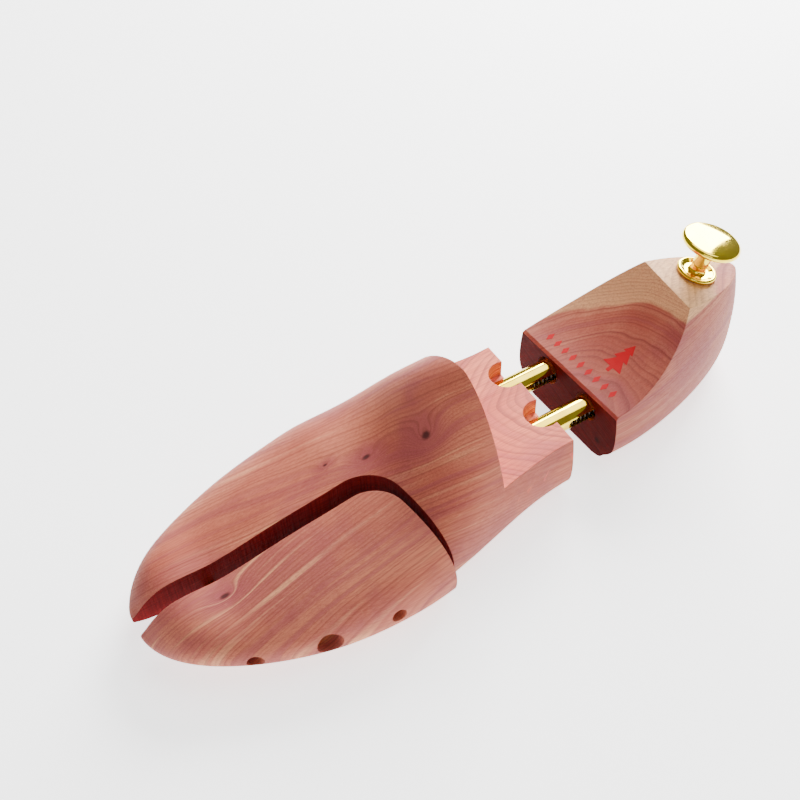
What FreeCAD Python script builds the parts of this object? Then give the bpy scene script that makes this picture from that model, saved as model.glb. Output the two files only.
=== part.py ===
import FreeCAD, Part
import math
import os

# Twin-tube, split-toe wooden shoe tree for a left shoe, in millimetres.
# The model is laid out with X = 0 midway between the two tubes, the neck's end face at Y = 0,
# the toe towards -Y, the heel towards +Y, the outer (lateral) side of the foot towards +X, and the
# surface it stands on at Z = 0. At the end everything is moved so that the origin is under the
# middle of the assembled tree. The springs hold the tree at its full length and width.

Vector = FreeCAD.Vector
X_AXIS = Vector(1, 0, 0)
Y_AXIS = Vector(0, 1, 0)
Z_AXIS = Vector(0, 0, 1)

# ---- driving dimensions ----
TOE_Y = -173.3              # toe tip
BALL_Y = -83.2              # widest part of the forepart
NECK_LENGTH = 37.0          # flat ledge behind the instep
NECK_TOP = 31.0             # height of the ledge
NECK_SKEW = 2.5             # degrees that the neck's end face is off square
HEEL_GAP = 20.0             # neck to heel block with the springs relaxed
HEEL_LENGTH = 90.0
HEEL_TRAVEL = 18.5

BALL_HALF_MEDIAL = 43.8
BALL_HALF_LATERAL = 45.0
NECK_HALF_MEDIAL = 31.4
NECK_HALF_LATERAL = 32.0
TOE_FULLNESS_MEDIAL = 1.85  # superellipse exponent of the toe's outline
TOE_FULLNESS_LATERAL = 2.0
TOE_EDGE = 8.0              # length over which the toe's edge is rounded from top to sole
SOLE_CUT = 0.4              # the sole is planed flat by this much

KERF = 2.4                  # saw kerf between the forepart's two halves
WING_TRAVEL = 5.2           # sideways travel of the outer half
CUT_RADIUS = 18.0

TUBE_DIAMETER = 10.0
TUBE_WALL = 0.6
TUBE_SPACING = 25.0
TUBE_HEIGHT = 21.0
TUBE_START = -45.0
TUBE_END = 52.0
FIT = 0.05                  # radial clearance of pins and tubes in their holes

NOTCH_RADIUS = 7.3
NOTCH_INSET = 2.4           # notch centre, ahead of the neck's end face
NOTCH_FLOOR = 23.6

CROSS_PIN_RADIUS = 1.6
NECK_PIN_Y = -8.5
HEEL_PIN_Y = HEEL_GAP + 9.1
CROSS_PIN_REACH = 19.5      # how far each pin reaches past the tree's middle
PIN_ACCESS_RADIUS = 3.3
PIN_ACCESS_END = -21.0

HEEL_HALF = 31.8
HEEL_WIDEST_Y = 29.0
HEEL_WIDEST_Z = 15.5
HEEL_CROWN = 50.0           # height of the uncut blank above its widest line
HEEL_BELLY = 18.8
HEEL_POINT = 1.6            # superellipse exponent of the heel's plan
SCOOP_START = (HEEL_GAP, 29.8)
RIDGE = (67.0, 55.3)
SCOOP_SAGITTA = 4.8
PLATEAU_TILT = 13.0         # degrees, falling to the back
PLATEAU_ROLL = 6.0          # degrees, falling to the outer side
HEEL_BLANK_TOP = 60.0
HEEL_MARGIN = 3.0           # the blank starts this far ahead of the block's front
HEEL_BORE_RADIUS = 6.2
HEEL_BORE_MOUTH = 7.0

KNOB_X = -1.2
KNOB_Y = 85.5
KNOB_RADIUS = 12.3
KNOB_HEIGHT = 18.1
RIM_RADIUS = 1.6
CROWN_ANGLE = 81.0          # degrees up the rim where the crown begins
STEM_RADIUS = 3.3
STEM_FLARE = 2.6            # radius of the hollow under the head
COLLAR_RADIUS = 8.5
STUD_RADIUS = 1.8
STUD_DEPTH = 20.5
COLLAR_SEAT = 0.9           # height of the collar's dished middle

SIDE_HOLE_Z = 13.5
GUIDE_PINS = {"front": -143.5, "rear": -92.5}
GUIDE_RADIUS = 2.0
GUIDE_INNER_END = -17.5
GUIDE_HEAD_RADIUS = 2.6
GUIDE_HEAD_LENGTH = 1.8
GUIDE_HEAD_ROUND = 0.7
GUIDE_BORE_RADIUS = 2.9
GUIDE_SHOULDER = 21.5       # where the heads seat, across from the tree's middle
WING_SPRING_Y = -118.5
WING_BORE_RADIUS = 4.75
WING_SPRING_BORE = 4.0
WING_SPRING_START = -8.9    # blind end of its pocket in the inner half
WING_SPRING_RADIUS = 3.2
TUBE_SPRING_RADIUS = 3.6
WIRE_RADIUS = 0.45
WING_PLUG_LENGTH = 3.0
WING_PLUG_X = 27.0

BIG = 300.0


# ---- helpers ----
def smooth(stations, y):
    """Smooth curve through a few (y, value) stations, level beyond both ends."""
    if y <= stations[0][0]:
        return stations[0][1]
    if y >= stations[-1][0]:
        return stations[-1][1]
    k = max(i for i, (at, _) in enumerate(stations[:-1]) if at <= y)

    def slope(i):
        lo, hi = max(i - 1, 0), min(i + 1, len(stations) - 1)
        return (stations[hi][1] - stations[lo][1]) / (stations[hi][0] - stations[lo][0])

    (y0, v0), (y1, v1) = stations[k], stations[k + 1]
    h = y1 - y0
    t = (y - y0) / h
    return (
        v0 * (1 + 2 * t) * (1 - t) ** 2
        + slope(k) * h * t * (1 - t) ** 2
        + v1 * t * t * (3 - 2 * t)
        + slope(k + 1) * h * t * t * (t - 1)
    )


def superellipse(u, power):
    """Height of a unit superellipse at distance u from its middle."""
    return max(0.0, 1.0 - abs(u) ** power) ** (1.0 / power)


def even_points(points, count):
    """Points evenly spaced along a polyline, from its first point to its last."""
    lengths = [0.0]
    for a, b in zip(points, points[1:]):
        lengths.append(lengths[-1] + a.distanceToPoint(b))
    result = [points[0]]
    k = 0
    for i in range(1, count):
        at = lengths[-1] * i / count
        while lengths[k + 1] < at:
            k += 1
        t = (at - lengths[k]) / (lengths[k + 1] - lengths[k])
        result.append(points[k] + (points[k + 1] - points[k]) * t)
    return result + [points[-1]]


def sewn_solid(faces):
    """Solid inside faces that meet edge to edge."""
    shell = Part.Shell(faces)
    shell.sewShape()
    solid = Part.Solid(shell)
    if solid.Volume < 0:
        solid.reverse()
    return solid


def flat_cap(edges):
    return Part.Face(Part.Wire(Part.__sortEdges__(edges)))


def rod(start, axis, length, radius):
    return Part.makeCylinder(radius, length, start, axis)


def prism(outline_edges, direction):
    return Part.Face(Part.Wire(outline_edges)).extrude(direction)


def polyline(points):
    return [Part.LineSegment(a, b).toShape() for a, b in zip(points, points[1:])]


def arc(centre, radius, start, end):
    """Three (radius, height) points of an arc, its angles in degrees from the outward direction."""
    angles = [math.radians(a) for a in (start, (start + end) / 2, end)]
    return [(centre[0] + radius * math.cos(a), centre[1] + radius * math.sin(a)) for a in angles]


def turned(outline):
    """Solid turned about the knob's axis from corners and arcs, joined by straight lines."""
    runs = [[Vector(r, 0, h) for r, h in (run if isinstance(run, list) else [run])] for run in outline]
    edges = []
    for run, following in zip(runs, runs[1:] + runs[:1]):
        if len(run) == 3:
            edges.append(Part.Arc(*run).toShape())
        edges += polyline([run[-1], following[0]])
    solid = flat_cap(edges).revolve(Vector(0, 0, 0), Z_AXIS, 360)
    solid.Placement = plateau_placement(KNOB_X, KNOB_Y)
    return solid


def coil(start, axis, length, radius, wire_radius, turns):
    """Compression spring whose wire centreline runs along axis from start."""
    inset = wire_radius
    pitch = (length - 2 * inset) / turns
    helix = Part.makeHelix(pitch, length - 2 * inset, radius)
    ring = Part.Wire(Part.makeCircle(wire_radius, Vector(radius, 0, 0), Y_AXIS))
    solid = Part.Wire(helix.Edges).makePipeShell([ring], True, True)
    solid.translate(Vector(0, 0, inset))
    solid.Placement = FreeCAD.Placement(start, FreeCAD.Rotation(Z_AXIS, axis)).multiply(solid.Placement)
    return solid


# ---- forepart ----
TOP_LINE = [(TOE_Y, 16.2), (-160, 24.2), (-140, 25.6), (-115, 31.5), (-90, 36.8), (-65, 44.4), (-37, 70), (0, 78)]
SOLE_LINE = [(TOE_Y, 11.6), (-156, 10.0), (-136, 6.0), (-114, 1.2), (-95, 0.0), (0, 0.0)]
WIDEST_LINE = [(TOE_Y, 13.5), (-140, 13.6), (-100, 12.8), (-60, 14.4), (0, 16.0)]
RIDGE_LINE = [(TOE_Y, 0.0), (-140, -2.3), (-110, -1.0), (-85, -5.5), (-60, -4.5), (-37, 7.8), (0, 7.8)]
CROWN_POWER = [(-90, 2.26), (-37, 1.64)]
BELLY_POWER = 3.3
SECTION_COUNT = 30
SECTION_POINTS = 48


def half_width(y, ball, neck, fullness):
    if y < BALL_Y:
        return ball * superellipse((BALL_Y - y) / (BALL_Y - TOE_Y), fullness)
    return neck + (ball - neck) * (1 + math.cos(math.pi * (y - BALL_Y) / -BALL_Y)) / 2


def forepart_section(y):
    """Cross-section of the last: a low dome over the toes that grows into the instep's arch."""
    lateral = half_width(y, BALL_HALF_LATERAL, NECK_HALF_LATERAL, TOE_FULLNESS_LATERAL)
    medial = half_width(y, BALL_HALF_MEDIAL, NECK_HALF_MEDIAL, TOE_FULLNESS_MEDIAL)
    edge = min(1.0, (y - TOE_Y) / TOE_EDGE)
    rounding = math.sqrt(1 - (1 - edge) ** 2)
    widest = smooth(WIDEST_LINE, y)
    crown = (smooth(TOP_LINE, y) - widest) * rounding
    belly = (widest - smooth(SOLE_LINE, y) + SOLE_CUT) * rounding
    ridge = smooth(RIDGE_LINE, y) * min(1.0, lateral / BALL_HALF_LATERAL)
    crown_power = smooth(CROWN_POWER, y)
    points = []
    for i in range(721):
        angle = math.radians(i / 2 - 90)
        c, s = math.cos(angle), math.sin(angle)
        power, tall, middle = (crown_power, crown, ridge) if s > 0 else (BELLY_POWER, belly, 0.0)
        reach = lateral - middle if c > 0 else medial + middle
        x = middle + reach * math.copysign(abs(c) ** (2 / power), c)
        z = widest + tall * math.copysign(abs(s) ** (2 / power), s)
        points.append(Vector(x, y, z))
    return even_points(points, SECTION_POINTS)


def forepart_blank():
    """The last's skin through its cross-sections, closed at both ends and sawn to shape."""
    sections = []
    for i in range(SECTION_COUNT):
        t = i / (SECTION_COUNT - 1)
        sections.append(forepart_section(TOE_Y + 0.2 + (5.0 - TOE_Y) * (0.25 * t + 0.75 * t * t)))
    skin = Part.BSplineSurface()
    skin.interpolate(sections)
    toe_end, neck_end = skin.bounds()[:2]
    caps = [flat_cap([skin.uIso(at).toShape()]) for at in (toe_end, neck_end)]
    blank = sewn_solid([skin.toShape()] + caps)
    floor = Part.makeBox(BIG, 2 * BIG, BIG, Vector(-BIG / 2, -BIG, -BIG))
    behind_neck = Part.makeBox(BIG, BIG, BIG, Vector(-BIG / 2, 0, -BIG / 2))
    behind_neck.rotate(Vector(0, 0, 0), Z_AXIS, -NECK_SKEW)
    ledge = Part.makeBox(BIG, BIG, BIG, Vector(-BIG / 2, -NECK_LENGTH, NECK_TOP))
    return blank.cut(floor).cut(behind_neck).cut(ledge)


def outer_region(offset):
    """Plan region on the outer side of the saw cut, moved off the cut by offset."""
    toe = Vector(-0.4, TOE_Y - 10, -10)
    corner = Vector(4.5, -74.7, -10)
    side = Vector(62.0, -60.5, -10)

    def shifted(a, b):
        along = (b - a).normalize()
        return Vector(along.y, -along.x, 0) * offset

    first, second = shifted(toe, corner), shifted(corner, side)
    turn = (corner - toe).getAngle(side - corner)
    radius = CUT_RADIUS - offset
    inner = corner + (first + second) * (1 / (1 + math.cos(turn)))
    run = radius * math.tan(turn / 2)
    start = inner + (toe - corner).normalize() * run
    end = inner + (side - corner).normalize() * run
    middle_way = ((toe - corner).normalize() + (side - corner).normalize()).normalize()
    middle = inner + middle_way * (radius / math.cos(turn / 2) - radius)
    far_toe, far_side = toe + first, side + second
    outline = [Part.LineSegment(far_toe, start).toShape()]
    outline.append(Part.Arc(start, middle, end).toShape())
    outline += polyline([end, far_side, Vector(90, far_side.y, -10), Vector(90, far_toe.y, -10), far_toe])
    return prism(outline, Vector(0, 0, 110))


def tube_axis(side, y):
    return Vector(side * TUBE_SPACING / 2, y, TUBE_HEIGHT)


def main_block(blank):
    """Inner half of the forepart, with the instep and the neck."""
    block = blank.cut(outer_region(0.0))
    for side in (-1, 1):
        block = block.cut(rod(tube_axis(side, TUBE_START - 0.5), Y_AXIS, 60, TUBE_DIAMETER / 2 + FIT))
        notch_y = -NOTCH_INSET - side * TUBE_SPACING / 2 * math.tan(math.radians(NECK_SKEW))
        notch = Vector(side * TUBE_SPACING / 2, notch_y, NOTCH_FLOOR)
        block = block.cut(rod(notch, Z_AXIS, 40, NOTCH_RADIUS))
    block = block.cut(cross_pin_hole(NECK_PIN_Y))
    for y in GUIDE_PINS.values():
        block = block.cut(rod(Vector(GUIDE_INNER_END - 0.5, y, SIDE_HOLE_Z), X_AXIS, 40, GUIDE_RADIUS + FIT))
    pocket = rod(Vector(WING_SPRING_START - 0.1, WING_SPRING_Y, SIDE_HOLE_Z), X_AXIS, 30, WING_SPRING_BORE)
    return block.cut(pocket)


def toe_wing(blank):
    """Outer half of the forepart, at rest a travel's length away from the inner half."""
    wing = blank.common(outer_region(KERF))
    for y in GUIDE_PINS.values():
        wing = wing.cut(rod(Vector(-10, y, SIDE_HOLE_Z), X_AXIS, 80, GUIDE_RADIUS + FIT))
        wing = wing.cut(rod(Vector(GUIDE_SHOULDER - WING_TRAVEL, y, SIDE_HOLE_Z), X_AXIS, 80, GUIDE_BORE_RADIUS))
    wing = wing.cut(rod(Vector(-10, WING_SPRING_Y, SIDE_HOLE_Z), X_AXIS, 80, WING_SPRING_BORE))
    bore = Vector(WING_PLUG_X - WING_TRAVEL, WING_SPRING_Y, SIDE_HOLE_Z)
    wing = wing.cut(rod(bore, X_AXIS, 80, WING_BORE_RADIUS))
    wing.translate(X_AXIS * WING_TRAVEL)
    return wing



def guide_pin(y):
    seat = GUIDE_SHOULDER + 0.1
    shank = rod(Vector(GUIDE_INNER_END, y, SIDE_HOLE_Z), X_AXIS, seat - GUIDE_INNER_END, GUIDE_RADIUS)
    head = rod(Vector(seat, y, SIDE_HOLE_Z), X_AXIS, GUIDE_HEAD_LENGTH, GUIDE_HEAD_RADIUS)
    rim = [e for e in head.Edges if e.Closed and e.CenterOfMass.x > seat + GUIDE_HEAD_LENGTH - 0.1]
    return shank.fuse(head.makeFillet(GUIDE_HEAD_ROUND, rim)).removeSplitter()


def wing_spring():
    start = Vector(WING_SPRING_START, WING_SPRING_Y, SIDE_HOLE_Z)
    length = WING_PLUG_X - 0.1 - WING_SPRING_START
    return coil(start, X_AXIS, length, WING_SPRING_RADIUS, WIRE_RADIUS, 12)


def wing_plug():
    return rod(Vector(WING_PLUG_X, WING_SPRING_Y, SIDE_HOLE_Z), X_AXIS, WING_PLUG_LENGTH, WING_BORE_RADIUS - FIT)


# ---- tubes, cross pins and their springs ----
def cross_pin_hole(y):
    access = rod(Vector(-60, y, TUBE_HEIGHT), X_AXIS, 60 + PIN_ACCESS_END, PIN_ACCESS_RADIUS)
    reach = CROSS_PIN_REACH + 0.2 - PIN_ACCESS_END
    return access.fuse(rod(Vector(PIN_ACCESS_END, y, TUBE_HEIGHT), X_AXIS, reach, CROSS_PIN_RADIUS + FIT))


def cross_pin(y):
    length = CROSS_PIN_REACH - PIN_ACCESS_END
    pin = rod(Vector(PIN_ACCESS_END, y, TUBE_HEIGHT), X_AXIS, length, CROSS_PIN_RADIUS)
    ends = [e for e in pin.Edges if e.Closed and len(e.Vertexes) == 1]
    return pin.makeChamfer(0.4, ends)


def tube(side):
    """Drawn tube, pinned in the neck, with a slot each side for the heel block's pin."""
    start = tube_axis(side, TUBE_START)
    outer = rod(start, Y_AXIS, TUBE_END - TUBE_START, TUBE_DIAMETER / 2)
    body = outer.cut(rod(start, Y_AXIS, TUBE_END - TUBE_START, TUBE_DIAMETER / 2 - TUBE_WALL))
    across = Vector(side * TUBE_SPACING / 2 - 10, 0, TUBE_HEIGHT)
    body = body.cut(rod(across + Y_AXIS * NECK_PIN_Y, X_AXIS, 20, CROSS_PIN_RADIUS + FIT))
    slot_radius = CROSS_PIN_RADIUS + 0.3
    slot_start = HEEL_PIN_Y - HEEL_TRAVEL - 1.0
    slot_length = HEEL_PIN_Y + 0.3 - slot_start
    slot = Part.makeBox(20, slot_length, 2 * slot_radius, across + Vector(0, slot_start, -slot_radius))
    for y in (slot_start, slot_start + slot_length):
        slot = slot.fuse(rod(across + Y_AXIS * y, X_AXIS, 20, slot_radius))
    return body.cut(slot)


def tube_spring(side):
    start = NECK_PIN_Y + CROSS_PIN_RADIUS + 0.2
    length = HEEL_PIN_Y - CROSS_PIN_RADIUS - 0.2 - start
    return coil(tube_axis(side, start), Y_AXIS, length, TUBE_SPRING_RADIUS, WIRE_RADIUS, 13)


# ---- heel block ----
def heel_half_width(z):
    if z < HEEL_WIDEST_Z:
        return HEEL_HALF * superellipse((HEEL_WIDEST_Z - z) / HEEL_BELLY, 2.2)
    return HEEL_HALF * superellipse((z - HEEL_WIDEST_Z) / HEEL_CROWN, 2.0)


def heel_section(z):
    """Plan outline at one height, from the front round the back to the front again."""
    width = heel_half_width(z)
    lean = 0.12 * max(0.0, (24 - z) / 24) ** 4 + 0.09 * max(0.0, (z - 24) / 36) ** 2
    back = HEEL_GAP + HEEL_LENGTH * (1 - lean)
    side = [Vector(width, HEEL_GAP - HEEL_MARGIN, z)]
    for i in range(121):
        u = math.sin(math.pi / 2 * i / 120)
        y = HEEL_WIDEST_Y + (back - HEEL_WIDEST_Y) * u
        side.append(Vector(width * superellipse(u, HEEL_POINT), y, z))
    side = even_points(side, 14)
    return side + [Vector(-p.x, p.y, z) for p in reversed(side[:-1])]


def heel_blank():
    """The heel's skin through its plan outlines, closed below, above and at the front."""
    heights = [HEEL_BLANK_TOP * i / 15 for i in range(16)]
    skin = Part.BSplineSurface()
    skin.interpolate([heel_section(z) for z in heights])
    bottom, top, right, left = skin.bounds()
    rims = [skin.uIso(at).toShape() for at in (bottom, top)]
    fronts = [skin.vIso(at).toShape() for at in (right, left)]
    sills = []
    for rim in rims:
        sills.append(Part.LineSegment(rim.Vertexes[0].Point, rim.Vertexes[-1].Point).toShape())
    caps = [flat_cap([rim, sill]) for rim, sill in zip(rims, sills)]
    return sewn_solid([skin.toShape()] + caps + [flat_cap(fronts + sills)])


def scoop_tool():
    """Everything above the scoop, with a small bevel where it meets the block's front."""
    start = Vector(-60, SCOOP_START[0], SCOOP_START[1])
    ridge = Vector(-60, RIDGE[0], RIDGE[1])
    chord = ridge - start
    middle = start + chord * 0.5 + Vector(0, chord.z, -chord.y).normalize() * SCOOP_SAGITTA
    rise = math.atan2(chord.z, chord.y) + 2 * math.atan2(2 * SCOOP_SAGITTA, chord.Length)
    beyond = ridge + Vector(0, math.cos(rise), math.sin(rise)) * 12
    bevel = start + Vector(0, -0.1, -1.1)
    corners = [beyond, Vector(-60, beyond.y, 90), Vector(-60, bevel.y - 20, 90)]
    corners += [Vector(-60, bevel.y - 20, bevel.z), bevel, start + Vector(0, 1.0, 0.1)]
    edges = [Part.Arc(corners[-1], middle, ridge).toShape()] + polyline([ridge] + corners)
    return prism(edges, Vector(120, 0, 0))


def plateau_placement(x, y):
    """Stands things on the plateau, square to it, above a point of the plan."""
    back, outward = math.radians(PLATEAU_TILT), math.radians(PLATEAU_ROLL)
    z = RIDGE[1] - (y - RIDGE[0]) * math.tan(back) - x * math.tan(outward)
    normal = Vector(math.tan(outward), math.tan(back), 1)
    return FreeCAD.Placement(Vector(x, y, z), FreeCAD.Rotation(Z_AXIS, normal))


def heel_block():
    block = heel_blank()
    block = block.cut(Part.makeBox(BIG, BIG, BIG, Vector(-BIG / 2, HEEL_GAP - BIG, -BIG / 2)))
    block = block.cut(scoop_tool())
    above = Part.makeBox(BIG, BIG, BIG, Vector(-BIG / 2, -BIG / 2, 0))
    above.Placement = plateau_placement(0, RIDGE[0]).multiply(above.Placement)
    block = block.cut(above)
    for side in (-1, 1):
        mouth = tube_axis(side, HEEL_GAP - 1)
        block = block.cut(rod(mouth, Y_AXIS, HEEL_BORE_MOUTH + 1, HEEL_BORE_RADIUS))
        depth = TUBE_END + HEEL_TRAVEL - HEEL_GAP + 3
        block = block.cut(rod(mouth, Y_AXIS, depth + 1, TUBE_DIAMETER / 2 + FIT))
    block = block.cut(cross_pin_hole(HEEL_PIN_Y))
    pilot, depth = STUD_RADIUS + FIT, STUD_DEPTH + 0.5
    return block.cut(turned([(0, -depth), (pilot, -depth), (pilot, 5), (0, 5)]))


# ---- knob ----
def knob():
    """Turned head with a low crown and a round rim, on a straight stem."""
    meeting = math.radians(CROWN_ANGLE)
    rim_x = KNOB_RADIUS - RIM_RADIUS
    crown = rim_x / math.cos(meeting) + RIM_RADIUS
    rim_z = KNOB_HEIGHT - crown + (crown - RIM_RADIUS) * math.sin(meeting)
    foot = STEM_RADIUS + 0.6
    return turned([
        (0, COLLAR_SEAT + 0.05),
        (foot, COLLAR_SEAT + 0.05),
        arc((foot + 1.0, COLLAR_SEAT + 2.0), 1.6, 215, 180),
        arc((STEM_RADIUS + STEM_FLARE, rim_z - 2.0 - STEM_FLARE), STEM_FLARE, 180, 104),
        arc((rim_x, rim_z), RIM_RADIUS, -82, CROWN_ANGLE),
        arc((0, KNOB_HEIGHT - crown), crown, CROWN_ANGLE + 0.01, 90),
    ])


def knob_collar():
    """Dished washer between the stem and the wood, with a round raised rim."""
    rim = 0.95
    return turned([
        (2.0, 0.05),
        arc((COLLAR_RADIUS - rim, rim + 0.05), rim, -90, 140),
        (COLLAR_RADIUS - 3.1, COLLAR_SEAT),
        (2.0, COLLAR_SEAT),
    ])


def knob_stud():
    """Threadeded stud, drawn without its thread, from the knob into the wood."""
    tip = [(0, -STUD_DEPTH), (0.6, 0.3 - STUD_DEPTH), (STUD_RADIUS, 3.0 - STUD_DEPTH)]
    return turned(tip + [(STUD_RADIUS, COLLAR_SEAT), (0, COLLAR_SEAT)])


# ---- assembly ----
def build():
    blank = forepart_blank()
    parts = {
        "main_block": main_block(blank),
        "toe_wing": toe_wing(blank),
        "heel_block": heel_block(),
        "neck_pin": cross_pin(NECK_PIN_Y),
        "heel_pin": cross_pin(HEEL_PIN_Y),
        "wing_spring": wing_spring(),
        "wing_spring_plug": wing_plug(),
        "knob": knob(),
        "knob_collar": knob_collar(),
        "knob_stud": knob_stud(),
    }
    for name, side in (("medial", -1), ("lateral", 1)):
        parts["tube_" + name] = tube(side)
        parts["tube_spring_" + name] = tube_spring(side)
    for name, y in GUIDE_PINS.items():
        parts["guide_pin_" + name] = guide_pin(y)
    return parts


def base_centre(shapes):
    """The middle of the assembled tree's box, on the surface that it stands on."""
    box = Part.makeCompound(shapes).optimalBoundingBox(False, False)
    return Vector((box.XMin + box.XMax) / 2, (box.YMin + box.YMax) / 2, 0)


def main():
    os.makedirs("parts", exist_ok=True)
    parts = build()
    origin = base_centre(list(parts.values()))
    print("laid-out frame's origin, in the part's frame (mm):", [round(-v, 3) for v in origin])
    for name, shape in parts.items():
        shape.translate(origin * -1)
        print(name, "valid", shape.isValid(), "solids", len(shape.Solids), "volume", round(shape.Volume, 1))
        shape.exportStep("parts/" + name + ".step")


main()
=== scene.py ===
import bpy
import bmesh
import math
from mathutils import Matrix, Vector
from mathutils.bvhtree import BVHTree


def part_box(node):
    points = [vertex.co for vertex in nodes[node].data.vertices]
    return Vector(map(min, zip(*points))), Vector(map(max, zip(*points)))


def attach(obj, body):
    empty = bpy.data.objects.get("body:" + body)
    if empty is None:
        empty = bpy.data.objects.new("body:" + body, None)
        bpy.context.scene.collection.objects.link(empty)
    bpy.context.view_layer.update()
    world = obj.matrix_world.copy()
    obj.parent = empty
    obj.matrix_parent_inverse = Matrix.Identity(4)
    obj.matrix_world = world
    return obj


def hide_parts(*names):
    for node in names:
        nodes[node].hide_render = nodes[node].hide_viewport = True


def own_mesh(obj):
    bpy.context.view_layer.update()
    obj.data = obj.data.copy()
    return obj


# A left foot's cedar shoe tree: wood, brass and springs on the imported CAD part.

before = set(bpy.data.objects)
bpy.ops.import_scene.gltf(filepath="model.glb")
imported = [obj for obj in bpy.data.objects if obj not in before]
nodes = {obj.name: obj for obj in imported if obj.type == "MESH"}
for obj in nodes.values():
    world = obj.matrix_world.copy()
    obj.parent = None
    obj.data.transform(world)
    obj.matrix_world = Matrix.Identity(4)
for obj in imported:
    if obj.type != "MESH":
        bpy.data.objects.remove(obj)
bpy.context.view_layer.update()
MM = 0.001


def middle(node):
    low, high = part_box(node)
    return (low + high) / 2


# The drawing's zero point: midway between the tubes, at the neck's end face, on the floor.
HEEL_GAP = 20.0
zero = (middle("tube_medial") + middle("tube_lateral")) / 2
zero.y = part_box("heel_block")[0].y - HEEL_GAP * MM
zero.z = 0.0


def at(x, y, z):
    """A point given in millimetres from the drawing's zero point, in metres in the part's frame."""
    return zero + Vector((x, y, z)) * MM


# ---- shader helpers ----
class Shader:
    """A material and short ways to add nodes to it."""

    def __init__(self, name):
        self.material = bpy.data.materials.new(name)
        self.material.use_nodes = True
        self.tree = self.material.node_tree
        self.tree.nodes.clear()

    def node(self, kind, *inputs, **settings):
        made = self.tree.nodes.new("ShaderNode" + kind)
        for key, value in settings.items():
            setattr(made, key, value)
        for socket, value in zip(made.inputs, inputs):
            self.feed(socket, value)
        return made

    def feed(self, socket, value):
        if value is None:
            return
        if isinstance(value, bpy.types.NodeSocket):
            self.tree.links.new(value, socket)
        else:
            socket.default_value = value

    def math(self, operation, a, b=None, c=None):
        return self.node("Math", a, b, c, operation=operation).outputs[0]

    def vector(self, operation, a, b=None):
        made = self.node("VectorMath", a, b, operation=operation)
        return made.outputs[1] if operation in ("LENGTH", "DOT_PRODUCT") else made.outputs[0]

    def place(self):
        """The point's place in millimetres from the drawing's zero point."""
        moved = self.vector("SUBTRACT", self.node("TexCoord").outputs["Object"], tuple(zero))
        return self.vector("MULTIPLY", moved, (1000.0, 1000.0, 1000.0))

    def noise(self, where, detail=3.0, roughness=0.5, scale=1.0, output="Fac"):
        made = self.node("TexNoise", where)
        made.inputs["Scale"].default_value = scale
        made.inputs["Detail"].default_value = detail
        made.inputs["Roughness"].default_value = roughness
        return made.outputs[output]

    def range(self, value, low, high, to_low=0.0, to_high=1.0):
        """Eases from to_low to to_high as value goes from low to high."""
        made = self.node("MapRange", value, low, high, to_low, to_high)
        made.interpolation_type = "SMOOTHSTEP"
        return made.outputs[0]

    def along(self, distance):
        """A point on a line, for patterns that change in one direction only."""
        return self.node("CombineXYZ", distance, 0.0, 0.0).outputs[0]

    def mix(self, share, a, b, blend="MIX"):
        made = self.node("Mix", data_type="RGBA", blend_type=blend, clamp_factor=True)
        self.feed(made.inputs[0], share)
        self.feed(made.inputs[6], a)
        self.feed(made.inputs[7], b)
        return made.outputs[2]

    def finish(self, color, roughness, metallic=0.0, bump=None, strength=0.2, distance=0.0003, edge=0.0,
               shine=0.5):
        """Makes the surface. edge is the radius, in metres, that sharp edges are shaded with."""
        made = self.node("BsdfPrincipled")
        made.inputs["Specular IOR Level"].default_value = shine
        self.feed(made.inputs["Base Color"], color)
        self.feed(made.inputs["Roughness"], roughness)
        self.feed(made.inputs["Metallic"], metallic)
        normal = None
        if edge > 0:
            rounded = self.node("Bevel", samples=6)
            rounded.inputs["Radius"].default_value = edge
            normal = rounded.outputs[0]
        if bump is not None:
            raised = self.node("Bump")
            raised.inputs["Strength"].default_value = strength
            raised.inputs["Distance"].default_value = distance
            self.feed(raised.inputs["Height"], bump)
            self.feed(raised.inputs["Normal"], normal)
            normal = raised.outputs[0]
        self.feed(made.inputs["Normal"], normal)
        self.tree.links.new(made.outputs[0], self.node("OutputMaterial").inputs[0])
        self.principled = made
        return self.material


def rgb(red, green, blue):
    return (red, green, blue, 1.0)


# ---- wood ----
# Cedar's colours as linear light.
HEART = rgb(0.42, 0.102, 0.062)
PALE = rgb(0.54, 0.163, 0.092)
CREAM = rgb(0.76, 0.33, 0.165)
SAP = rgb(0.86, 0.49, 0.215)
PURPLE = rgb(0.31, 0.062, 0.068)
LATE = rgb(0.19, 0.036, 0.028)
KNOT = rgb(0.045, 0.006, 0.006)


GRAIN_WANDER = 7.0      # mm that the grain strays from straight lines
EDGE_ROUND = 0.0005     # metres
SAP_BLUR = 0.7          # mm from heartwood to sapwood, each way
WOOD_SHINE = 0.22
SAWN_SHINE = 0.05
BUMP_STRENGTH = 0.18
BUMP_DISTANCE = 0.0002  # metres


def pith_distance(s, bent, pith, lean):
    """How far each point is from the tree's pith, a line through pith that leans along Y."""
    part = s.node("SeparateXYZ", bent).outputs
    x = s.math("SUBTRACT", part[0], s.math("MULTIPLY_ADD", part[1], lean[0], pith[0] - lean[0] * pith[1]))
    z = s.math("SUBTRACT", part[2], s.math("MULTIPLY_ADD", part[1], lean[1], pith[2] - lean[1] * pith[1]))
    return s.math("SQRT", s.math("ADD", s.math("MULTIPLY", x, x), s.math("MULTIPLY", z, z)))


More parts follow.
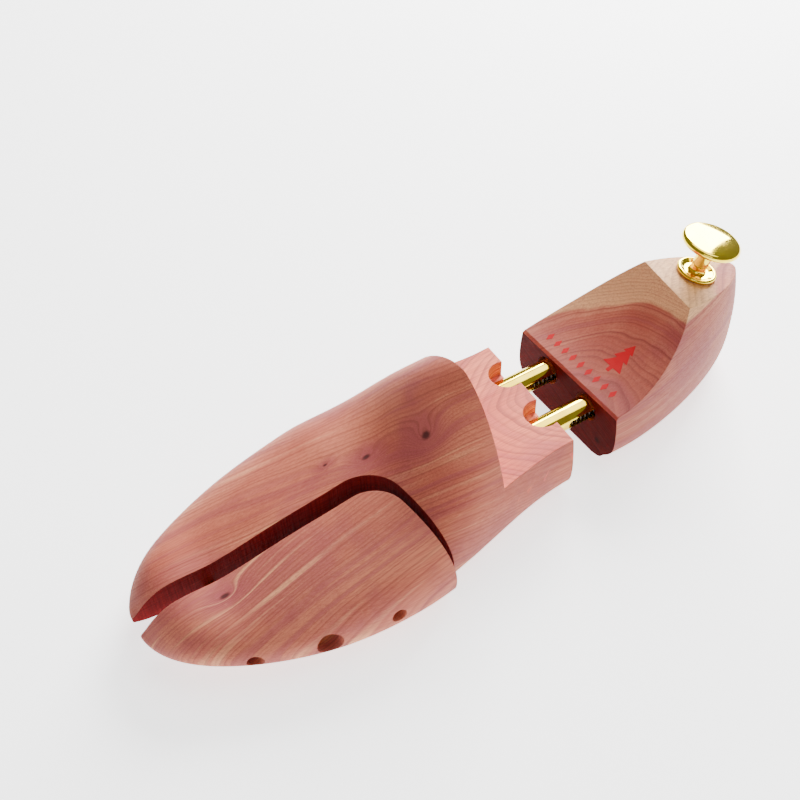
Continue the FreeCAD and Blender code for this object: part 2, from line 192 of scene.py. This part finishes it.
def flow_round(s, place, radius, knots):
    """Bends the rings round the knots, and gives the knots' dark cores and the stain about them."""
    core = None
    stain = None
    for spot, size in knots:
        gap = s.vector("MULTIPLY", s.vector("SUBTRACT", place, spot), (1.0, 0.45, 1.0))
        reach = s.vector("LENGTH", gap)
        square = s.math("MULTIPLY_ADD", reach, reach, size * size)
        radius = s.math("ADD", s.math("DIVIDE", size * size * size * 2.2, square), radius)
        dark = s.range(reach, size * 0.12, size * 0.42, 1.0, 0.0)
        core = dark if core is None else s.math("MAXIMUM", core, dark)
        shade = s.range(reach, size * 0.3, size * 2.6, 0.8, 0.0)
        stain = shade if stain is None else s.math("MAXIMUM", stain, shade)
    return radius, core, stain


def late_wood(s, radius, line, spacing):
    """The dark end of each year's ring, and a chance number for the year."""
    uneven = s.noise(line, 2.0, 0.6)
    count = s.math("ADD", s.math("DIVIDE", radius, spacing), s.math("MULTIPLY", uneven, 3.0))
    season = s.math("FRACT", count)
    late = s.math("MULTIPLY", s.range(season, 0.35, 0.90), s.range(season, 0.92, 1.0, 1.0, 0.0))
    luck = s.node("TexWhiteNoise", noise_dimensions="1D")
    s.feed(luck.inputs["W"], s.math("FLOOR", count))
    return late, luck.outputs["Value"]


def saw_marks(s, place, direction):
    """Ridges that follow one another along a direction."""
    track = s.vector("DOT_PRODUCT", place, direction)
    tooth = s.noise(s.along(s.math("MULTIPLY", track, 0.9)), 2.0, 0.7)
    return s.range(tooth, 0.38, 0.62)


def cedar(name, pith, lean, spacing, tint=(1.0, 1.0, 1.0), contrast=1.0, streaks=0.5, sap_radius=None,
          knots=(), saw=None, shine=WOOD_SHINE):
    """Cedar with growth rings round a pith line.

    pith is a point of that line in millimetres and lean the line's (x, z) slope along Y. Beyond
    sap_radius the wood is cream. The rings flow round knots, given as (place, size) pairs. saw is
    the direction, across a sawn face, in which the blade's marks follow one another.
    """
    s = Shader(name)
    place = s.place()
    wander = s.noise(s.vector("MULTIPLY", place, (0.035, 0.011, 0.035)), 2.0, output="Color")
    shift = s.vector("SUBTRACT", wander, (0.5, 0.5, 0.5))
    bent = s.vector("ADD", place, s.vector("MULTIPLY", shift, (GRAIN_WANDER, 0.0, GRAIN_WANDER)))
    radius, core, stain = flow_round(s, place, pith_distance(s, bent, pith, lean), knots)
    line = s.along(s.math("MULTIPLY", radius, 0.16))
    late, luck = late_wood(s, radius, line, spacing)

    stretched = s.vector("MULTIPLY", line, (1.6, 0.0, 0.0))
    band = s.noise(s.vector("ADD", stretched, s.vector("MULTIPLY", place, (0.0, 0.006, 0.02))), 2.0, 0.55)
    fibre = s.noise(s.vector("MULTIPLY", bent, (2.2, 0.035, 2.2)), 4.0, 0.65)
    fine = s.noise(s.vector("MULTIPLY", place, (6.0, 0.15, 6.0)), 2.0, 0.6)
    cloud = s.noise(s.vector("MULTIPLY", bent, (0.045, 0.012, 0.045)), 3.0, 0.5)
    patch = s.noise(s.vector("MULTIPLY", bent, (0.030, 0.022, 0.030)), 4.0, 0.6)

    color = s.mix(s.range(cloud, 0.36, 0.62, 0.0, 0.9), HEART, PALE)
    color = s.mix(s.range(band, 0.34, 0.46, 0.6, 0.0), color, PURPLE)
    color = s.mix(s.range(patch, 0.50, 0.64, 0.0, 0.55), color, PURPLE)
    if stain is not None:
        color = s.mix(stain, color, PURPLE)
    streak = s.math("MULTIPLY", s.range(band, 0.58, 0.66), s.range(cloud, 0.40, 0.60, 0.2, streaks))
    color = s.mix(streak, color, CREAM)
    strength = s.math("MULTIPLY", late, s.math("MULTIPLY_ADD", luck, 0.50, 0.16))
    if sap_radius is not None:
        limit = s.math("MULTIPLY_ADD", s.math("SUBTRACT", cloud, 0.5), 5.0, radius)
        outer = s.range(limit, sap_radius - SAP_BLUR, sap_radius + SAP_BLUR)
        color = s.mix(s.math("MULTIPLY", outer, 0.9), color, SAP)
        strength = s.math("MULTIPLY", strength, s.math("MULTIPLY_ADD", outer, -0.62, 1.0))
    color = s.mix(s.math("MULTIPLY", strength, contrast), color, LATE)
    color = s.mix(s.range(fibre, 0.34, 0.58, 0.34 * contrast, 0.0), color, LATE)
    color = s.mix(s.range(fine, 0.52, 0.75, 0.0, 0.22), color, CREAM)
    if core is not None:
        color = s.mix(s.math("MULTIPLY", core, 0.9), color, KNOT)
    height = s.math("MULTIPLY_ADD", fine, 0.5, s.math("MULTIPLY_ADD", late, 0.35, fibre))
    if saw is not None:
        mark = saw_marks(s, place, saw)
        color = s.mix(s.range(mark, 0.0, 1.0, 0.55, 0.0), color, LATE)
        height = s.math("MULTIPLY_ADD", mark, 2.5, height)
    color = s.mix(1.0, color, rgb(*tint), "MULTIPLY")
    rough = s.range(fibre, 0.3, 0.7, 0.66, 0.52)
    return s.finish(color, rough, 0.0, height, BUMP_STRENGTH, BUMP_DISTANCE, EDGE_ROUND, shine)


# ---- metals ----
def metal(name, color, dark, low, high, grain=(0.05, 1.2, 1.2)):
    """Metal with a faint change of tone and fine marks along one direction.

    low and high are its least and greatest roughness, before the change of tone adds to them.
    """
    s = Shader(name)
    place = s.place()
    marks = s.noise(s.vector("MULTIPLY", place, grain), 4.0, 0.7)
    cloud = s.noise(place, 2.0, 0.5, 0.15)
    tone = s.mix(s.range(cloud, 0.3, 0.7, 0.0, 0.5), color, dark)
    tone = s.mix(s.range(marks, 0.55, 0.8, 0.0, 0.25), tone, dark)
    rough = s.math("ADD", s.range(marks, 0.3, 0.8, low, high), s.range(cloud, 0.3, 0.7, 0.0, 0.04))
    return s.finish(tone, rough, 1.0, marks, 0.03, 0.00005)


# ---- faces of the wooden blocks that were cut in different ways; the kerf walls, the heel's scoop and its front face are also darkened as painted shade ----
def share_out(obj, materials, choose):
    """Gives each face of a block the material that choose(centre in mm, normal) names."""
    obj.data.materials.clear()
    order = list(materials)
    for key in order:
        obj.data.materials.append(materials[key])
    for face in obj.data.polygons:
        centre = (face.center - zero) / MM
        face.material_index = order.index(choose(centre, face.normal))


# Where the blocks' faces lie, in the drawing's millimetres.
NECK_START = -37.0
NECK_MARGIN = 0.3
NECK_BOTTOM = 20.0
CUT_CORNER = Vector((4.5, -74.7))
CUT_TOE = Vector((-0.4, -183.3))
CUT_SIDE = Vector((62.0, -60.5))
CUT_REACH = 8.5         # the sawn walls lie within this of the cut's line
CUT_REAR = -50.0        # and ahead of this
CUT_ACROSS = 25.0       # beyond this X the cut runs across the forepart
WING_NOSE = -175.0
FRONT_MARGIN = 0.5


def cut_distance(point):
    """How far a point of the plan is from the saw cut's line."""
    p = point.xy
    best = math.inf
    for a, b in ((CUT_TOE, CUT_CORNER), (CUT_CORNER, CUT_SIDE)):
        along = b - a
        t = max(0.0, min(1.0, (p - a).dot(along) / along.length_squared))
        best = min(best, (p - a - along * t).length)
    return best


# On the main block and the wing, the sawn walls of the cut take the kerf material, darkened as painted
# shade.
def main_face(centre, normal):
    upright = abs(normal.z) < 0.2
    towards_wing = normal.x - normal.y > 0.2 and (centre.x < CUT_ACROSS or normal.y < -0.8)
    if upright and towards_wing and centre.y < CUT_REAR and cut_distance(centre) < CUT_REACH:
        return "kerf"
    on_neck = centre.y > NECK_START - NECK_MARGIN and centre.z > NECK_BOTTOM
    if on_neck and (normal.z > 0.9 or abs(normal.z) < 0.1):
        return "ledge"
    return "wood"


def wing_face(centre, normal):
    inward = normal.x < -0.3 or normal.y > 0.6
    return "kerf" if inward and abs(normal.z) < 0.05 and centre.y > WING_NOSE else "wood"


# The heel's front face and its scoop get darker copies of the heel's wood: painted shade.
def heel_face(centre, normal):
    if normal.y < -0.97 and centre.y < HEEL_GAP + FRONT_MARGIN:
        return "front"
    if abs(normal.x) < 0.02 and normal.y < -0.1 and normal.z > 0.5:
        return "scoop"
    return "wood"


MAIN_KNOTS = [((11.2, -55.7, 50.1), 5.0), ((0.4, -75.2, 39.9), 3.0), ((-6.8, -88.8, 37.1), 1.6)]
WING_KNOTS = [((16.0, -142.6, 24.8), 3.2)]
FRONT_KNOTS = [((21.9, HEEL_GAP, 9.3), 5.0)]
HEEL_GRAIN = {"pith": (19.0, 60.0, -24.0), "lean": (0.0, 0.0), "spacing": 1.05, "sap_radius": 73.8,
              "contrast": 1.1, "streaks": 0.35}

main_wood = cedar("cedar_main", (150.0, 0.0, -60.0), (0.05, -0.05), 1.45, (1.0, 0.94, 0.92),
                  contrast=0.95, streaks=0.6, sap_radius=207.0, knots=MAIN_KNOTS)
ledge_wood = cedar("cedar_ledge", (10.0, 0.0, -24.0), (0.10, 0.30), 1.2, (1.55, 1.24, 1.16),
                   contrast=1.25, streaks=0.6)
# Kerf walls: sawn cedar with the saw's marks, its colour darkened by the tint as painted shade deep in the
# narrow cut.
kerf_painted_shade_wood = cedar("cedar_kerf_painted_shade", (2.0, 0.0, -46.0), (0.03, 0.10), 1.5, (0.60, 0.10, 0.16),
                  streaks=0.2, saw=(0.8, 1.0, 0.0), shine=SAWN_SHINE)
wing_wood = cedar("cedar_wing", (190.0, 0.0, -20.0), (-0.16, 0.0), 1.45, (1.12, 1.14, 1.14),
                  contrast=0.9, streaks=0.85, knots=WING_KNOTS)
heel_wood = cedar("cedar_heel", tint=(0.92, 0.92, 0.95), **HEEL_GRAIN)
# The scoop is the heel's wood made darker by the tint: painted shade for the slope turned away from the
# key light.
scoop_painted_shade_wood = cedar("cedar_heel_scoop_painted_shade", tint=(0.82, 0.74, 0.77), **HEEL_GRAIN)
# The heel's front face: sawn end with the saw's marks, made very dark by the tint as painted shade for the
# face turned away from the light.
front_painted_shade_wood = cedar("cedar_heel_front_painted_shade", (6.0, 60.0, -14.0), (0.0, 0.0), 1.2, (0.18, 0.014, 0.012),
                   streaks=0.3, knots=FRONT_KNOTS, saw=(0.3, 0.0, 1.0), shine=0.03)
dowel_wood = cedar("cedar_plug", (30.0, -118.5, 18.0), (0.0, 0.0), 0.9, (0.85, 0.85, 0.8))

share_out(nodes["main_block"], {"wood": main_wood, "ledge": ledge_wood, "kerf": kerf_painted_shade_wood}, main_face)
share_out(nodes["toe_wing"], {"wood": wing_wood, "kerf": kerf_painted_shade_wood}, wing_face)
share_out(nodes["heel_block"], {"wood": heel_wood, "scoop": scoop_painted_shade_wood, "front": front_painted_shade_wood}, heel_face)

brass = metal("brass", rgb(0.93, 0.71, 0.055), rgb(0.70, 0.43, 0.030), 0.07, 0.12)
turned_brass = metal("turned_brass", rgb(0.93, 0.73, 0.055), rgb(0.74, 0.48, 0.030), 0.05, 0.10,
                     (0.9, 0.9, 0.1))
steel = metal("steel", rgb(0.55, 0.54, 0.52), rgb(0.40, 0.38, 0.36), 0.25, 0.40)
wire = metal("spring_wire", rgb(0.10, 0.085, 0.075), rgb(0.045, 0.038, 0.035), 0.34, 0.48, (1.5, 1.5, 1.5))
finishes = {
    brass: ("tube_medial", "tube_lateral", "guide_pin_front", "guide_pin_rear"),
    turned_brass: ("knob", "knob_collar"),
    steel: ("neck_pin", "heel_pin", "knob_stud"),
    dowel_wood: ("wing_spring_plug",),
}
for finish, names in finishes.items():
    for name in names:
        nodes[name].data.materials.clear()
        nodes[name].data.materials.append(finish)


# ---- springs: they stand for the CAD springs ----
WIRE_RADIUS = 0.45          # mm
COIL_STEPS = 28             # points in a turn of wire
WIRE_SIDES = 8


def as_object(name, made, material, smooth=True):
    mesh = bpy.data.meshes.new(name)
    made.to_mesh(mesh)
    made.free()
    mesh.materials.append(material)
    for face in mesh.polygons:
        face.use_smooth = smooth
    obj = bpy.data.objects.new(name, mesh)
    bpy.context.scene.collection.objects.link(obj)
    return obj


def coil(name, start, axis, length, radius, turns):
    """Round-wire compression spring with a closed turn at each end; length and radius in mm."""
    steps = (turns + 2) * COIL_STEPS
    closed = WIRE_RADIUS * 2.02
    open_pitch = (length - 2 * WIRE_RADIUS - 2 * closed) / turns
    made = bmesh.new()
    spin = Vector((0, 0, 1)).rotation_difference(axis).to_matrix()
    rings = []
    for i in range(steps + 1):
        turn = i / COIL_STEPS
        middle_turns = max(0.0, min(turn - 1, turns))
        last_turn = max(0.0, turn - 1 - turns)
        rise = min(turn, 1) * closed + middle_turns * open_pitch + last_turn * closed
        angle = 2 * math.pi * turn
        out = Vector((math.cos(angle), math.sin(angle), 0))
        centre = out * radius + Vector((0, 0, rise + WIRE_RADIUS))
        ring = []
        for j in range(WIRE_SIDES):
            a = 2 * math.pi * j / WIRE_SIDES
            p = centre + out * (WIRE_RADIUS * math.cos(a)) + Vector((0, 0, WIRE_RADIUS * math.sin(a)))
            ring.append(made.verts.new(start + (spin @ p) * MM))
        rings.append(ring)
    for a, b in zip(rings, rings[1:]):
        for j in range(WIRE_SIDES):
            k = (j + 1) % WIRE_SIDES
            made.faces.new((a[j], a[k], b[k], b[j]))
    made.faces.new(rings[0][::-1])
    made.faces.new(rings[-1])
    bmesh.ops.recalc_face_normals(made, faces=made.faces)
    return as_object(name, made, wire)


def spring_for(node, axis, turns, radius):
    """Puts a coil in place of a CAD spring and hangs it on the front body."""
    low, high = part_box(node)
    axis = Vector(axis)
    length = (high - low).dot(axis)
    start = middle(node) - axis * (length / 2)
    made = coil(node + "_coil", start, axis, length / MM, radius, turns)
    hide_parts(node)
    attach(made, "front")
    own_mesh(made)


for side in ("medial", "lateral"):
    spring_for("tube_spring_" + side, (0, 1, 0), 14, 3.6)
spring_for("wing_spring", (1, 0, 0), 12, 3.2)


# ---- the printed mark on the heel's scoop: a plain fir with a row of lozenges ----
def print_material():
    s = Shader("red_print")
    place = s.place()
    worn = s.noise(place, 4.0, 0.7, 1.1)
    grain = s.noise(s.vector("MULTIPLY", place, (3.0, 0.15, 3.0)), 3.0, 0.6)
    color = s.mix(s.range(grain, 0.4, 0.62, 0.0, 0.45), rgb(0.46, 0.002, 0.008), rgb(0.40, 0.015, 0.018))
    color = s.mix(s.range(worn, 0.60, 0.76, 0.0, 0.4), color, rgb(0.38, 0.05, 0.04))
    return s.finish(color, 0.6, 0.0, grain, 0.1, 0.0001, 0.0, 0.1)


FILM = 0.00006              # metres between the wood and the print
PRINT_EDGE = 0.9            # mm, the longest edge that follows the curved scoop well enough
ABOVE_HEEL = 80.0
FIR_PLACE = (9.5, HEEL_GAP + 17.0)
FIR_SCALE = 2.9
LOZENGES = 9
LOZENGE_ROW = HEEL_GAP + 6.5
LOZENGE_PITCH = 5.0
LOZENGE_SCALE = 2.3
LOZENGE = [(0, 1), (0.55, 0), (0, -1), (-0.55, 0)]

heel_mesh = nodes["heel_block"].data
heel_points = [v.co.copy() for v in heel_mesh.vertices]
heel_skin = BVHTree.FromPolygons(heel_points, [list(p.vertices) for p in heel_mesh.polygons])


def stamp(made, outline, centre, scale):
    """Lays a flat outline, in units of scale mm, on the scoop as a thin film."""
    flat = bmesh.new()
    flat.faces.new([flat.verts.new((x, y, 0)) for x, y in outline])
    bmesh.ops.triangulate(flat, faces=flat.faces)
    for _ in range(3):
        long_edges = [e for e in flat.edges if e.calc_length() * scale > PRINT_EDGE]
        if long_edges:
            bmesh.ops.subdivide_edges(flat, edges=long_edges, cuts=1)
            bmesh.ops.triangulate(flat, faces=flat.faces)
    lookup = {}
    for v in flat.verts:
        above = at(centre[0] + v.co.x * scale, centre[1] + v.co.y * scale, ABOVE_HEEL)
        hit, normal, _, _ = heel_skin.ray_cast(above, Vector((0, 0, -1)))
        lookup[v] = made.verts.new(hit + normal * FILM)
    for face in flat.faces:
        made.faces.new([lookup[v] for v in face.verts])
    flat.free()


def fir():
    """Half a fir's outline mirrored: three tiers and a trunk."""
    half = [(0, 3.2), (0.9, 1.9), (0.45, 1.9), (1.35, 0.6), (0.65, 0.6), (1.8, -0.9)]
    half += [(0.3, -0.9), (0.3, -1.7)]
    return half + [(-x, y) for x, y in reversed(half[1:])]


mark = bmesh.new()
stamp(mark, fir(), FIR_PLACE, FIR_SCALE)
for i in range(LOZENGES):
    x = LOZENGE_PITCH * (i - (LOZENGES - 1) / 2)
    stamp(mark, LOZENGE, (x, LOZENGE_ROW), LOZENGE_SCALE)
bmesh.ops.recalc_face_normals(mark, faces=mark.faces)
printed = as_object("printed_mark", mark, print_material(), False)
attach(printed, "heel")


# ---- floor, light and camera ----
FLOOR_SIZE = 4.0            # metres, half a side
FLOOR_DROP = 0.0002
FLOOR_GLOW = 2.0
WORLD_LIGHT = 0.25


def pale_floor():
    s = Shader("floor")
    cloud = s.noise(s.place(), 3.0, 0.5, 0.004)
    color = s.mix(cloud, rgb(0.93, 0.93, 0.93), rgb(0.96, 0.96, 0.96))
    made = s.finish(color, 0.7)
    s.principled.inputs["Emission Color"].default_value = (1, 1, 1, 1)
    s.principled.inputs["Emission Strength"].default_value = FLOOR_GLOW
    return made


ground = bmesh.new()
bmesh.ops.create_grid(ground, x_segments=1, y_segments=1, size=FLOOR_SIZE)
floor = as_object("floor", ground, pale_floor(), False)
floor.location = (0, 0, -FLOOR_DROP)


def softbox(name, place, target, size, power):
    light = bpy.data.lights.new(name, "AREA")
    light.shape = "RECTANGLE"
    light.size, light.size_y = size
    light.energy = power
    obj = bpy.data.objects.new(name, light)
    bpy.context.scene.collection.objects.link(obj)
    obj.location = place
    obj.rotation_euler = (Vector(target) - Vector(place)).to_track_quat("-Z", "Y").to_euler()


softbox("key", (-0.70, 0.95, 0.62), (0, 0, 0.02), (0.75, 0.75), 72.0)
softbox("overhead", (0.0, 0.42, 1.15), (0, 0, 0), (1.0, 0.6), 9.0)
softbox("front_fill", (1.0, -0.75, 0.75), (0, 0, 0.02), (0.8, 0.5), 3.0)

world = bpy.data.worlds.new("studio")
world.use_nodes = True
background = world.node_tree.nodes["Background"]
background.inputs[0].default_value = (1, 1, 1, 1)
background.inputs[1].default_value = WORLD_LIGHT
bpy.context.scene.world = world

LENS = 46.6155              # mm
FRAME_WIDTH = 36.0          # mm
CAMERA_PLACE = at(220.29, -186.52, 332.22)
AZIMUTH, ELEVATION, ROLL = (math.radians(v) for v in (60.01, 46.85, -2.74))
level = Vector((math.cos(AZIMUTH), math.sin(AZIMUTH), 0))
back = Vector((math.sin(AZIMUTH), -math.cos(AZIMUTH), 0))
ahead = -back * math.cos(ELEVATION) - Vector((0, 0, math.sin(ELEVATION)))
upward = level.cross(ahead)
right = level * math.cos(ROLL) + upward * math.sin(ROLL)
top = upward * math.cos(ROLL) - level * math.sin(ROLL)
camera_data = bpy.data.cameras.new("camera")
camera_data.sensor_width = FRAME_WIDTH
camera_data.lens = LENS
camera_data.clip_start = 0.01
camera = bpy.data.objects.new("camera", camera_data)
bpy.context.scene.collection.objects.link(camera)
axes = Matrix((right, top, -ahead)).transposed().to_4x4()
camera.matrix_world = Matrix.Translation(CAMERA_PLACE) @ axes
bpy.context.scene.camera = camera
